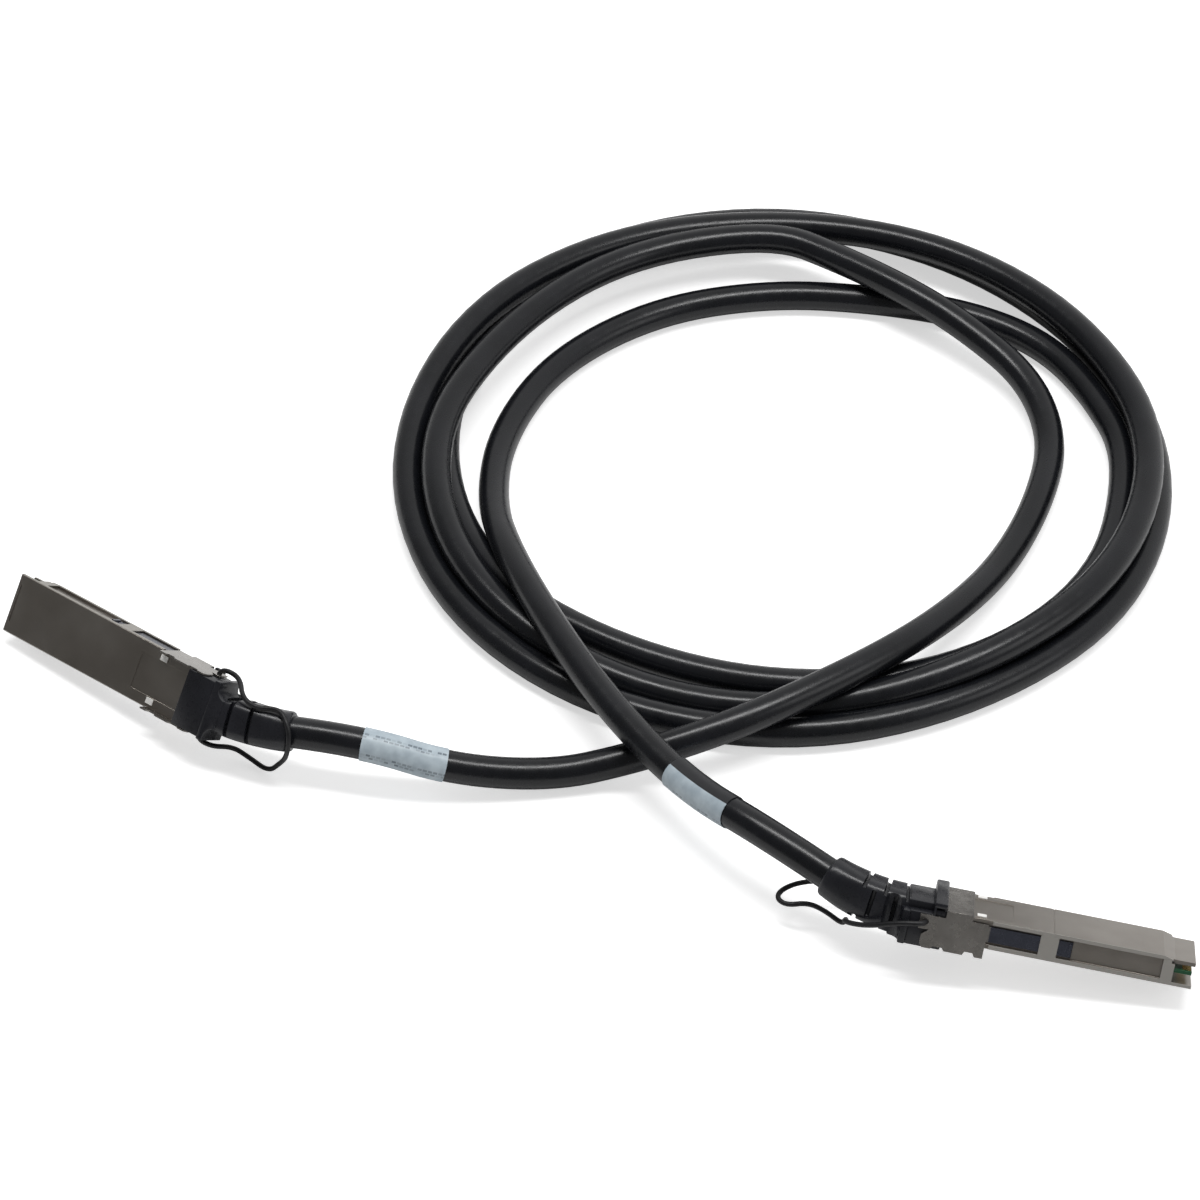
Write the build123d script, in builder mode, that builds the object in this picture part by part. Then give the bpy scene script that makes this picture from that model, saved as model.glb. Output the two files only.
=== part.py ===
from build123d import *
import os
from math import atan2, cos, degrees, hypot, pi, radians, sin, tan

os.makedirs("parts", exist_ok=True)

# Direct attach copper cable: two pluggable four-lane modules on one coiled cable.
# Millimetres, Z up, the floor at Z = 0.  The route is laid out from a datum on the floor.

# Layout
DATUM = Vector(6.35, 82.12, 0.0)        # layout datum seen from the part's own origin
COIL_C = (56.0, 57.0)                  # centre of the coiled bundle, from the datum

# Cable
CABLE_D = 9.4                          # jacket of the eight-pair cable
LABEL_T = 0.25                         # thickness of each printed sleeve
LABEL_GAP = 0.03                       # sleeve bore clear of the jacket
CORD_D = 1.5                           # pull cord
RING_R = 120.9                         # outside of the coiled bundle
RING_BAND = 23.4                       # mean width of the bundle
RING_BORE_R = RING_R - RING_BAND       # opening of the coiled bundle
RING_BORE_DY = -2.0                    # opening sits a little toward the modules
RING_LOW = 9.6                         # one layer of turns
RING_HIGH = 17.6                       # two layers of turns
RING_LEAN = 75.0                       # direction of the tall side, degrees

# Module body, own frame: X toward the nose, Y across, Z out of the top face
BODY_W = 18.35
BODY_H = 8.5
REAR = 10.5                            # rear of the metal body, X
NOSE = 80.5                            # front of the metal body, X
FLOOR_T = 1.1                          # bottom and top walls
SIDE_WALL = 1.775
CAVITY_W = BODY_W - 2 * SIDE_WALL
NOSE_CUT = 5.7                         # open sides behind the nose
NOSE_DROP = 0.95                       # top plate lower at the nose
NOSE_INSET = 1.0                       # top plate narrower at the nose
RIM_W = 1.2                            # tray rims beside the narrow part of the lid
RIM_FRONT = 37.5
GROOVE_DEPTH = 0.8
GROOVE_REAR = 46.3
GROOVE_FRONT = NOSE - 9.0
LIP_H = 1.4                            # bottom lip below the grooves
ARM_BED = 1.0                          # depth of the bed of each latch arm
BED_REAR = 16.9
BRIDGE_REAR = 37.2                     # land that keeps each arm in its bed
BRIDGE_FRONT = 42.3
BRIDGE_T = 0.4
WAIST_FRONT = 23.5                     # body narrower behind this station
WAIST_STEP = 0.475
WAIST_W = BODY_W - 2 * WAIST_STEP
CROSS_GROOVE = 40.5                    # faint line across the lid
CROSS_GROOVE_W = 0.4
LID_STEP = 29.0                        # lid a little lower behind this station
TAB_REAR = 18.9                        # bright tabs near both edges of the lid
TAB_L = 2.6
TAB_IN = 5.9
TAB_OUT = 7.7
UNDER_TAB_REAR = 20.6                   # the same tabs on the underside
UNDER_STEP = 30.1                       # underside a little higher behind this station
RIB_T = 0.8                            # ribs of the lid and ledges of the tray
RIB_GAP = 0.1

# Latch slide
SHEET = 0.45                           # sheet of the slide
SHEET_GAP = 0.05                       # running clearance around the body
TRAVEL = 2.8                           # pull that frees the module
FLANK_REAR = 3.5
FLANK_FRONT = 22.5
FLANK_LOW = -7.3
PLATE_FRONT = 18.0
ARM_T = 0.4
ARM_Z = (-2.2, 2.4)
ARM_FRONT = 46.2
ARM_REAR = 20.5
TIP_L = 1.0

# Card
CARD_T = 1.0
CARD_W = BODY_W - 1.95
CARD_SIDE_GAP = 0.2
CARD_TAIL_W = CAVITY_W - 2 * CARD_SIDE_GAP
CARD_REAR = 38.0
CARD_FRONT = NOSE - 0.6
SEAT_REAR = CARD_REAR + 12.0           # ledges that carry the card
SEAT_FRONT = NOSE - 12.5
PAIR_W = 2.3
PAIR_EDGE = 0.95                       # card edge beyond the outer pairs
FERRULE_REAR = REAR + 2.5
FERRULE_FRONT = REAR + 11.5
PAD_COUNT = 19
PAD_PITCH = 0.8
PAD_W = 0.5
PAD_L = 2.4
PAD_T = 0.05

# Hub and boot
HUB_W = BODY_W + 0.05
HUB_LOW = -7.5
HUB_SHOULDER = 2.7                     # top of the wide part of the hub
HUB_TOP = 4.9
HUB_BACK = -1.5                        # rear of the wide part, X
HUB_CORE_W = WAIST_W - 0.2             # between the flanks of the slide
BOOT_L = 24.0
BOOT_W = 11.9
BOOT_ROOT_H = 13.2
BOOT_ROOT_Z = -0.95
BOOT_END_H = 12.0
BOOT_ROOT_R = 2.4                      # corners of the root and of the round end
BOOT_END_R = 5.7
SCALLOP_R = 3.1                        # hollow on each side behind the wide part
SCALLOP_WAIST = 4.6                    # half width left between the hollows
SLOT_W = 1.3
SLOT_DEEP = 2.0
SLOT_FIRST = 0.7                       # first slot, along the boot
SLOT_PITCH = 3.05
SLOT_SIDE_H = 8.4                      # height of the slots in the sides

# Pose of each module: centre of the hub's rear face from the datum, heading, droop and roll,
# and the bend of its boot with the direction it bends to, in degrees
MODULES = {
    "a": dict(hub=(-110.25, -59.6, 14.2921), heading=142.0, droop=3.6, roll=128.6, bend=25.0, toward=51.5),
    "b": dict(hub=(85.8, -137.4, 16.4642), heading=-9.4, droop=6.2, roll=-27.0, bend=26.0, toward=38.0),
}

# Cable stretches outside the bundle, from the datum; each begins or ends in the bundle
LEAD_A = [
    (-43.0, -78.2, 8.8), (-14.0, -76.8, 4.7), (8.0, -72.5, 7.0), (31.0, -68.5, 13.2),
    (54.0, -57.8, 15.2), (85.0, -37.0, 14.6), (107.0, -13.5, 9.6), (123.2, 11.0, 5.0), (135.5, 38.3, 4.7),
    (142.0, 66.0, 4.7), (135.6, 91.5, 8.0), (116.0, 111.5, 12.4), (99.5, 124.5, 14.9), (79.0, 140.0, 14.9),
    (55.0, 153.0, 14.0), (30.0, 155.0, 13.0),
]
LEAD_B = [
    (164.0, 62.0, 4.7), (155.5, 87.0, 4.7), (140.5, 109.5, 4.7), (119.0, 123.8, 4.7), (90.0, 132.7, 4.7),
    (55.0, 135.7, 4.7), (17.5, 127.0, 4.7), (-14.7, 102.0, 4.7), (-31.0, 68.5, 4.7), (-33.7, 35.5, 6.8),
    (-27.3, 4.8, 14.2), (-14.0, -29.4, 17.8), (4.0, -63.8, 18.2), (25.0, -94.0, 18.6),
]
FREE_RUN = {"a": 21.0, "b": 22.0}      # first run out of each boot
LABELS = {"a": (19.0, 46.5), "b": (31.0, 63.0)}  # stretch of each sleeve, from its boot

# Pull cords: slack loops from the datum, between the two lugs of each slide
LOOPS = {
    "a": [
        (-107.4, -64.0, 3.4), (-102.6, -66.2, 1.2), (-96.6, -71.6, 0.8), (-93.0, -71.2, 4.2),
        (-91.2, -75.4, 10.4), (-90.0, -77.4, 16.0), (-89.4, -75.0, 21.6), (-91.6, -69.4, 23.9),
        (-95.2, -67.6, 23.4), (-99.4, -67.6, 23.6), (-103.4, -64.4, 24.6),
    ],
    "b": [
        (74.0, -144.4, 16.4), (67.6, -140.8, 14.2), (69.0, -137.4, 11.6), (67.8, -138.0, 9.8), (63.6, -133.0, 9.3),
        (58.6, -129.0, 8.7), (52.4, -129.6, 8.2), (49.6, -126.6, 8.0), (51.4, -123.6, 8.4), (57.0, -121.4, 9.0),
        (66.0, -121.4, 9.4), (76.0, -123.6, 9.8),
    ],
}
LUG = (5.3, 0.4)                       # eye of each lug, X and Z of the module


def block(x0, x1, y0, y1, z0, z1, mode=Mode.ADD):
    """A box by its limits in the current part."""
    with Locations(((x0 + x1) / 2, (y0 + y1) / 2, (z0 + z1) / 2)):
        Box(x1 - x0, y1 - y0, z1 - z0, mode=mode)


def module_plane(end):
    """The own frame of one module, as a plane."""
    pose = MODULES[end]
    heading = radians(pose["heading"])
    droop = radians(pose["droop"])
    forward = Vector(cos(heading) * cos(droop), sin(heading) * cos(droop), -sin(droop))
    level = Vector(-sin(heading), cos(heading), 0)
    across = level.rotate(Axis((0, 0, 0), forward), pose["roll"])
    return Plane(origin=DATUM + Vector(*pose["hub"]), x_dir=forward, z_dir=forward.cross(across))


def boot_plane(end, run):
    """Section plane of the bent boot after a run along its centre line, module frame."""
    bend = radians(MODULES[end]["bend"])
    toward = radians(MODULES[end]["toward"])
    side = Vector(0, cos(toward), sin(toward))
    back = Vector(-1, 0, 0)
    radius = BOOT_L / bend
    turn = run / radius
    centre = back * (radius * sin(turn)) + side * (radius * (1 - cos(turn)))
    swing = Axis((0, 0, 0), back.cross(side))
    axis = back.rotate(swing, degrees(turn))
    across = Vector(0, -1, 0).rotate(swing, degrees(turn))
    return Plane(origin=centre, x_dir=across, z_dir=axis)


def cable_entry(end):
    """Point and direction where the cable leaves the boot, part frame."""
    frame = module_plane(end)
    last = boot_plane(end, BOOT_L)
    point = frame.from_local_coords(last.origin)
    ahead = frame.from_local_coords(last.origin + last.z_dir)
    return point, ahead - point


def fillet_radii(points):
    """Radius of each bend: 0.45 of the shorter run over the tangent of half the turn."""
    radii = []
    for before, here, after in zip(points, points[1:], points[2:]):
        run_in = here - before
        run_out = after - here
        half_turn = radians(run_in.get_angle(run_out)) / 2
        radii.append(0.45 * min(run_in.length, run_out.length) / tan(half_turn))
    return radii


def tube(points, diameter, name):
    """Round tube through the bends; prints its radii and compares its volume."""
    radii = fillet_radii(points)
    with BuildPart() as body:
        with BuildLine() as path:
            FilletPolyline(*points, radius=radii)
        with BuildSketch(Plane(origin=path.line @ 0, z_dir=path.line % 0)):
            Circle(diameter / 2)
        sweep(path=path.line)
    centre = path.wires()[0]
    wanted = pi * diameter ** 2 / 4 * centre.length
    print(name, "length", round(centre.length, 1), "radii", [round(r) for r in radii])
    print(name, "volume over section times length", round(body.part.volume / wanted, 4))
    return body.part, centre


def lower_shell():
    """Die-cast tray: floor, side walls, arm beds, grooves and card ledges."""
    half = BODY_W / 2
    low = -BODY_H / 2
    wall_top = BODY_H / 2 - FLOOR_T
    with BuildPart() as tray:
        block(REAR, NOSE, -half, half, low, wall_top)
        chamfer(tray.edges().filter_by(Axis.X).group_by(Axis.Z)[0], 0.3)
        for side in (-1, 1):
            inner, outer = sorted((side * (half - RIM_W), side * half))
            block(REAR, RIM_FRONT, inner, outer, wall_top, BODY_H / 2)
        block(REAR, NOSE, -CAVITY_W / 2, CAVITY_W / 2, low + FLOOR_T, BODY_H, mode=Mode.SUBTRACT)
        block(NOSE - NOSE_CUT, NOSE, -half, half, low + FLOOR_T, BODY_H, mode=Mode.SUBTRACT)
        block(NOSE - 6.6, NOSE, -half, half, wall_top - NOSE_DROP, BODY_H, mode=Mode.SUBTRACT)
        for side in (-1, 1):
            inner, outer = sorted((side * (half - GROOVE_DEPTH), side * half))
            block(GROOVE_REAR, GROOVE_FRONT, inner, outer, low + LIP_H, wall_top, mode=Mode.SUBTRACT)
            inner, outer = sorted((side * (half - ARM_BED), side * half))
            block(BED_REAR, GROOVE_REAR, inner, outer, low + LIP_H, wall_top, mode=Mode.SUBTRACT)
            inner, outer = sorted((side * (half - BRIDGE_T), side * half))
            block(BRIDGE_REAR, BRIDGE_FRONT, inner, outer, low + LIP_H, wall_top)
            inner, outer = sorted((side * WAIST_W / 2, side * half))
            block(REAR, WAIST_FRONT, inner, outer, low, BODY_H / 2, mode=Mode.SUBTRACT)
            inner, outer = sorted((side * (CAVITY_W / 2 - RIB_T), side * CAVITY_W / 2))
            block(SEAT_REAR, SEAT_FRONT, inner, outer, low + FLOOR_T, -CARD_T / 2)
            inner, outer = sorted((side * TAB_IN, side * TAB_OUT))
            block(UNDER_TAB_REAR, UNDER_TAB_REAR + TAB_L, inner, outer, low - 0.4, low + 0.2)
        block(REAR, UNDER_STEP, -TAB_IN + 0.2, TAB_IN - 0.2, low, low + 0.2, mode=Mode.SUBTRACT)
        with Locations((NOSE - 1.2, 0, low)):
            Box(0.6, 12.0, 0.6, mode=Mode.SUBTRACT)
    return tray.part


def upper_shell():
    """Die-cast lid: stepped top, lower and narrower nose, ribs that hold the card."""
    half = BODY_W / 2
    top = BODY_H / 2
    under = top - FLOOR_T
    with BuildPart() as lid:
        with BuildSketch(Plane.XZ.offset(-half)):
            with BuildLine():
                Polyline(
                    (REAR, under), (REAR, top), (NOSE - 9.0, top), (NOSE - NOSE_CUT, top - NOSE_DROP),
                    (NOSE, top - NOSE_DROP), (NOSE, under - NOSE_DROP), (NOSE - NOSE_CUT, under - NOSE_DROP),
                    (NOSE - 6.6, under), (REAR, under),
                )
            make_face()
        extrude(amount=BODY_W)
        for side in (-1, 1):
            inner, outer = sorted((side * (half - NOSE_INSET), side * half))
            block(NOSE - NOSE_CUT - 0.6, NOSE, inner, outer, 0, top, mode=Mode.SUBTRACT)
            inner, outer = sorted((side * (half - RIM_W - 0.02), side * half))
            block(REAR, RIM_FRONT + 0.02, inner, outer, 0, top, mode=Mode.SUBTRACT)
            inner, outer = sorted((side * (CAVITY_W / 2 - RIB_T - RIB_GAP), side * (CAVITY_W / 2 - RIB_GAP)))
            block(WAIST_FRONT, SEAT_REAR, inner, outer, 2.0, under)
            block(SEAT_REAR, SEAT_FRONT, inner, outer, CARD_T / 2, under)
            inner, outer = sorted((side * TAB_IN, side * TAB_OUT))
            block(TAB_REAR, TAB_REAR + TAB_L, inner, outer, top - 0.2, top + 0.4)
        block(REAR, LID_STEP, -TAB_IN + 0.2, TAB_IN - 0.2, top - 0.2, top, mode=Mode.SUBTRACT)
        groove = (CROSS_GROOVE - CROSS_GROOVE_W / 2, CROSS_GROOVE + CROSS_GROOVE_W / 2)
        block(*groove, -half, half, top - 0.15, top, mode=Mode.SUBTRACT)
    return lid.part


def latch_slide():
    """Sheet slide: plate over the top, two flanks, two arms with turned tips, cord lugs."""
    inner = WAIST_W / 2 + SHEET_GAP
    outer = inner + SHEET
    plate_low = BODY_H / 2 + SHEET_GAP
    plate_top = plate_low + SHEET
    bed = BODY_W / 2 - ARM_BED + 0.12
    profile = [
        (FLANK_REAR, -1.8), (FLANK_REAR, 2.5), (REAR, 2.5), (REAR, plate_top), (PLATE_FRONT, plate_top),
        (PLATE_FRONT, 3.0), (FLANK_FRONT, 3.0), (FLANK_FRONT, FLANK_LOW), (20.2, FLANK_LOW), (19.6, -6.2),
        (17.4, -6.2), (16.8, FLANK_LOW), (11.6, FLANK_LOW), (11.0, -6.4), (8.4, -6.4), (7.8, FLANK_LOW),
        (5.4, FLANK_LOW), (4.6, -6.2), (4.6, -3.4), (6.4, -1.8), (FLANK_REAR, -1.8),
    ]
    with BuildPart() as slide:
        block(REAR, PLATE_FRONT, -outer, outer, plate_low, plate_top)
        for side in (-1, 1):
            start = -outer if side > 0 else inner
            with BuildSketch(Plane.XZ.offset(start)):
                with BuildLine():
                    Polyline(*profile)
                make_face()
                with Locations(LUG):
                    Circle(CORD_D / 2, mode=Mode.SUBTRACT)
            extrude(amount=SHEET)
            near, far = sorted((side * bed, side * (bed + ARM_T)))
            block(ARM_REAR + 2.0, ARM_FRONT, near, far, *ARM_Z)
            near, far = sorted((side * bed, side * (inner + 0.02)))
            block(ARM_REAR, FLANK_FRONT, near, far, *ARM_Z)
            near, far = sorted((side * bed, side * (BODY_W / 2 - 0.05)))
            block(ARM_FRONT - TIP_L, ARM_FRONT, near, far, -1.6, 1.8)
    return slide.part


def paddle_card():
    """Circuit card, wider at the contact end."""
    with BuildPart() as card:
        block(CARD_REAR, CARD_FRONT, -CARD_TAIL_W / 2, CARD_TAIL_W / 2, -CARD_T / 2, CARD_T / 2)
        block(NOSE - NOSE_CUT + 0.1, CARD_FRONT, -CARD_W / 2, CARD_W / 2, -CARD_T / 2, CARD_T / 2)
    return card.part


def contact_pads():
    """Edge contacts, the same row above and below."""
    with BuildPart() as pads:
        for level in (CARD_T / 2 + PAD_T / 2, -CARD_T / 2 - PAD_T / 2):
            with Locations((CARD_FRONT - 0.2 - PAD_L / 2, 0, level)):
                with GridLocations(PAD_L, PAD_PITCH, 1, PAD_COUNT):
                    Box(PAD_L, PAD_W, PAD_T)
    return pads.part


def memory_chip():
    """Small memory chip on the card."""
    with BuildPart() as chip:
        block(CARD_REAR + 18.0, CARD_REAR + 22.0, -1.5, 1.5, CARD_T / 2, CARD_T / 2 + 0.9)
    return chip.part


def twinax_pairs():
    """Eight pairs from the ferrule to the card, four above and four below."""
    pitch = (CARD_TAIL_W - PAIR_W - 2 * PAIR_EDGE) / 3
    with BuildPart() as pairs:
        for level in (CARD_T / 2 + 0.65, -CARD_T / 2 - 0.65):
            with BuildSketch(Plane.YZ.offset(FERRULE_FRONT)):
                with Locations((0, level)):
                    with GridLocations(pitch, 1.0, 4, 1):
                        RectangleRounded(PAIR_W, 1.3, 0.5)
            extrude(amount=CARD_REAR + 6.0 - FERRULE_FRONT)
    return pairs.part


def crimp_ferrule():
    """Oval ferrule that holds the braid at the rear of the body."""
    with BuildPart() as ferrule:
        with BuildSketch(Plane.YZ.offset(FERRULE_REAR)):
            RectangleRounded(13.0, 4.6, 2.2)
        extrude(amount=FERRULE_FRONT - FERRULE_REAR)
    return ferrule.part


def slot_box(section, place, size):
    """One slot of the boot: a block set across its section and taken away."""
    with Locations(section.location * Location(place)):
        Box(*size, SLOT_W, mode=Mode.SUBTRACT)


def strain_relief(end):
    """Moulded hub with its front flange, hollow sides and the bent slotted boot."""
    neck = HUB_BACK - SCALLOP_R
    shoulder = SCALLOP_WAIST + SCALLOP_R
    with BuildPart() as boot:
        for step in range(5):
            share = step / 4
            with BuildSketch(boot_plane(end, BOOT_L * share)):
                with Locations((0, BOOT_ROOT_Z * (1 - share))):
                    height = BOOT_ROOT_H + (BOOT_END_H - BOOT_ROOT_H) * share
                    RectangleRounded(BOOT_W, height, BOOT_ROOT_R + (BOOT_END_R - BOOT_ROOT_R) * share)
        loft()
        for side in (-1, 1):
            with Locations((neck, side * shoulder, 0)):
                Cylinder(SCALLOP_R, 4 * BOOT_ROOT_H, mode=Mode.SUBTRACT)
    with BuildPart() as whole:
        with BuildSketch(Plane.XY.offset(HUB_LOW)):
            with BuildLine():
                Polyline((neck, SCALLOP_WAIST), (neck, -SCALLOP_WAIST))
                RadiusArc((neck, -SCALLOP_WAIST), (HUB_BACK, -shoulder), SCALLOP_R)
                Polyline(
                    (HUB_BACK, -shoulder), (HUB_BACK, -HUB_W / 2), (0.6, -HUB_W / 2),
                    (0.6, HUB_W / 2), (HUB_BACK, HUB_W / 2), (HUB_BACK, shoulder),
                )
                RadiusArc((HUB_BACK, shoulder), (neck, SCALLOP_WAIST), SCALLOP_R)
            make_face()
        extrude(amount=HUB_SHOULDER - HUB_LOW)
        block(0.6, REAR, -HUB_CORE_W / 2, HUB_CORE_W / 2, HUB_LOW, HUB_SHOULDER)
        block(0.0, 7.5, -BOOT_W / 2, BOOT_W / 2, HUB_SHOULDER, HUB_TOP)
        block(6.9, 7.5, -HUB_W / 2, HUB_W / 2, HUB_SHOULDER, HUB_TOP)
        block(7.5, REAR, -HUB_CORE_W / 2, HUB_CORE_W / 2, HUB_SHOULDER, 4.2)
        block(6.9, REAR, -HUB_W / 2, HUB_W / 2, HUB_TOP, 6.5)
        block(REAR, FERRULE_REAR - 0.1, -CAVITY_W / 2 + 0.15, CAVITY_W / 2 - 0.15, -3.0, 3.0)
        add(boot.part)
        for mark in range(5):
            run = SLOT_FIRST + SLOT_PITCH * mark
            section = boot_plane(end, run)
            share = run / BOOT_L
            reach = (BOOT_ROOT_H + (BOOT_END_H - BOOT_ROOT_H) * share) / 2 - SLOT_DEEP + 3.0
            middle = BOOT_ROOT_Z * (1 - share)
            if mark % 2:
                for side in (-1, 1):
                    slot_box(section, (side * (BOOT_W / 2 - SLOT_DEEP + 3.0), 0, 0), (6.0, SLOT_SIDE_H))
            else:
                slot_box(section, (0, middle + reach, 0), (20.0, 6.0))
                if mark:
                    slot_box(section, (0, middle - reach, 0), (20.0, 6.0))
    return whole.part


# Modules
PIECES = {
    "upper_shell": upper_shell(),
    "lower_shell": lower_shell(),
    "latch_slide": latch_slide(),
    "paddle_card": paddle_card(),
    "contact_pads": contact_pads(),
    "memory_chip": memory_chip(),
    "twinax_pairs": twinax_pairs(),
    "crimp_ferrule": crimp_ferrule(),
}
nodes = {}
for end in ("a", "b"):
    seat = module_plane(end).location
    for name, shape in PIECES.items():
        nodes[name + "_" + end] = shape.moved(seat)
    nodes["strain_relief_" + end] = strain_relief(end).moved(seat)

# Cable stretches
leads = {}
for end, trail in (("a", LEAD_A), ("b", LEAD_B)):
    point, ahead = cable_entry(end)
    route = [point, point + ahead * FREE_RUN[end]]
    stops = [DATUM + Vector(*stop) for stop in trail]
    route += stops if end == "a" else stops[::-1]
    nodes["cable_lead_" + end], leads[end] = tube(route, CABLE_D, "cable_lead_" + end)
    print("entry", end, point - DATUM, "direction", ahead)

# Pull cords
for end, loop in LOOPS.items():
    frame = module_plane(end)
    route = []
    for side, rise in ((-1, -1.0), (1, 1.0)):
        stops = [(LUG[0], side * 8.75, LUG[1]), (LUG[0], side * 11.2, LUG[1]), (-1.5, side * 11.0, LUG[1] + rise)]
        stops = [frame.from_local_coords(stop) for stop in stops]
        route += stops if side < 0 else stops[::-1]
        if side < 0:
            route += [DATUM + Vector(*stop) for stop in loop]
    nodes["lanyard_" + end], _ = tube(route, CORD_D, "lanyard_" + end)
    print("cord", end, [tuple(round(v, 1) for v in stop - DATUM) for stop in route])

# Coiled bundle, taller where its turns lie in two layers
with BuildPart() as bundle:
    with BuildSketch():
        with Locations((DATUM.X + COIL_C[0], DATUM.Y + COIL_C[1])):
            Circle(RING_R)
            with Locations((0, RING_BORE_DY)):
                Circle(RING_BORE_R, mode=Mode.SUBTRACT)
    extrude(amount=RING_HIGH + 4.0)
    lean = degrees(atan2(RING_HIGH - RING_LOW, 2 * RING_R))
    middle = Vector(DATUM.X + COIL_C[0], DATUM.Y + COIL_C[1], (RING_LOW + RING_HIGH) / 2)
    rise = Vector(cos(radians(RING_LEAN)), sin(radians(RING_LEAN)), tan(radians(lean))).normalized()
    level = Vector(-sin(radians(RING_LEAN)), cos(radians(RING_LEAN)), 0)
    split(bisect_by=Plane(origin=middle, x_dir=rise, z_dir=rise.cross(level)), keep=Keep.BOTTOM)
    fillet(bundle.edges().group_by(Axis.Z)[0], 3.5)
nodes["cable_coil"] = bundle.part

# Printed sleeves on the cable
for end, (first, last) in LABELS.items():
    whole = leads[end]
    stretch = whole.trim(first / whole.length, last / whole.length)
    with BuildPart() as sleeve:
        with BuildSketch(Plane(origin=stretch @ 0, z_dir=stretch % 0)):
            Circle(CABLE_D / 2 + LABEL_GAP + LABEL_T)
            Circle(CABLE_D / 2 + LABEL_GAP, mode=Mode.SUBTRACT)
        sweep(path=stretch)
    nodes["label_" + end] = sleeve.part

for name, shape in nodes.items():
    shape.label = name
    export_step(shape, "parts/" + name + ".step")
    box = shape.bounding_box()
    print(name, "solids", len(shape.solids()), "volume", round(shape.volume, 1), "min", box.min, "max", box.max)

modules = Compound([s for n, s in nodes.items() if not n.startswith(("cable", "label", "lanyard"))])
print("modules", modules.bounding_box())
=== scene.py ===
# %% [markdown]
# # A direct attach copper cable, dressed for the camera
# Two pluggable modules sit on the ends of one long cable that is wound in a loose coil.
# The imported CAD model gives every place, so this lesson only adds what the eye wants:
# round cable turns, rubber boots, worn plating, printed sleeves and limp pull cords.

# %% Load the frame
from math import cos, pi, radians, sin

import bmesh
import bpy
from mathutils import Matrix, Vector


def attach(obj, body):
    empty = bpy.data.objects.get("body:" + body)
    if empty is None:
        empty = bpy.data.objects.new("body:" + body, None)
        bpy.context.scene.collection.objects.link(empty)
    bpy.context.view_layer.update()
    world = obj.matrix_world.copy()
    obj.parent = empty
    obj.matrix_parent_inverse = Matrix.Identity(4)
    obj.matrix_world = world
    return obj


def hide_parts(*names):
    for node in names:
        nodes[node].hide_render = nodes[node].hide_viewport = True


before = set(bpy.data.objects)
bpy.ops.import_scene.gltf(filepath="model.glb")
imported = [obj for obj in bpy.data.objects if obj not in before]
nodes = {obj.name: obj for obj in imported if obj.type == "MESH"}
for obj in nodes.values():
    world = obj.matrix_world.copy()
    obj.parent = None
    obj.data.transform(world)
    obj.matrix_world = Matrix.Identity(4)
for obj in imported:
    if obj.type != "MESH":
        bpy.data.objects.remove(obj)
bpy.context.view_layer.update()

MM = 0.001

# %% [markdown]
# ## The camera
# The picture looks down at 45 degrees from 1.35 m with a long lens, which keeps the
# far side of the coil nearly as large as the near side.

# %% Camera
DATUM = Vector((6.35, 82.12, 0.0))  # layout datum on the floor, in millimetres
DISTANCE = 1350.0
TILT = radians(45)  # how far the camera looks down
LENS = 133.65
FILM = 36.0
NEAR = 0.05


def place(x, y, z):
    """A point of the layout, in metres in the part's frame."""
    return (DATUM + Vector((x, y, z))) * MM


camera_data = bpy.data.cameras.new("photo_camera")
camera_data.lens = LENS
camera_data.sensor_width = FILM
camera_data.clip_start = NEAR
camera = bpy.data.objects.new("photo_camera", camera_data)
bpy.context.scene.collection.objects.link(camera)
camera.location = place(0.0, -DISTANCE * cos(TILT), DISTANCE * sin(TILT))
camera.rotation_euler = (pi / 2 - TILT, 0.0, 0.0)
bpy.context.scene.camera = camera
print("camera at", [round(v, 3) for v in camera.location])

# %% [markdown]
# ## The cable's route
# The cable is one curve. Its control points are the tube's points from boot to coil,
# then twelve points for each turn, then the points back to the other boot.
# A NURBS curve of order 3 stays near them and bends smoothly.

# %% Route points
CABLE_D = 9.4
COIL = (56.0, 57.0)  # middle of the coil
TURN_STEP = 30  # degrees from one control point of a turn to the next
TURN_START = 90
CORNER_CUT = 0.966  # the curve runs this share of the way out to its points
STRAIGHT_A = 21.0  # how far the cable runs straight out of each boot
STRAIGHT_B = 22.0
EXIT_A = Vector((-88.795, -69.823, 15.743))
AHEAD_A = Vector((0.972997, -0.223879, 0.056171))
EXIT_B = Vector((64.027, -128.470, 19.984))
AHEAD_B = Vector((-0.802344, 0.569001, 0.180225))
LEAD_A = [
    (-43.0, -78.2, 8.8), (-14.0, -76.8, 4.7), (8.0, -72.5, 7.0), (31.0, -68.5, 13.2),
    (54.0, -57.8, 15.2), (85.0, -37.0, 14.6), (107.0, -13.5, 9.6), (123.2, 11.0, 5.0),
    (135.5, 38.3, 4.7), (142.0, 66.0, 4.7), (135.6, 91.5, 8.0), (116.0, 111.5, 12.4),
    (99.5, 124.5, 14.9), (79.0, 140.0, 14.9),
]
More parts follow.
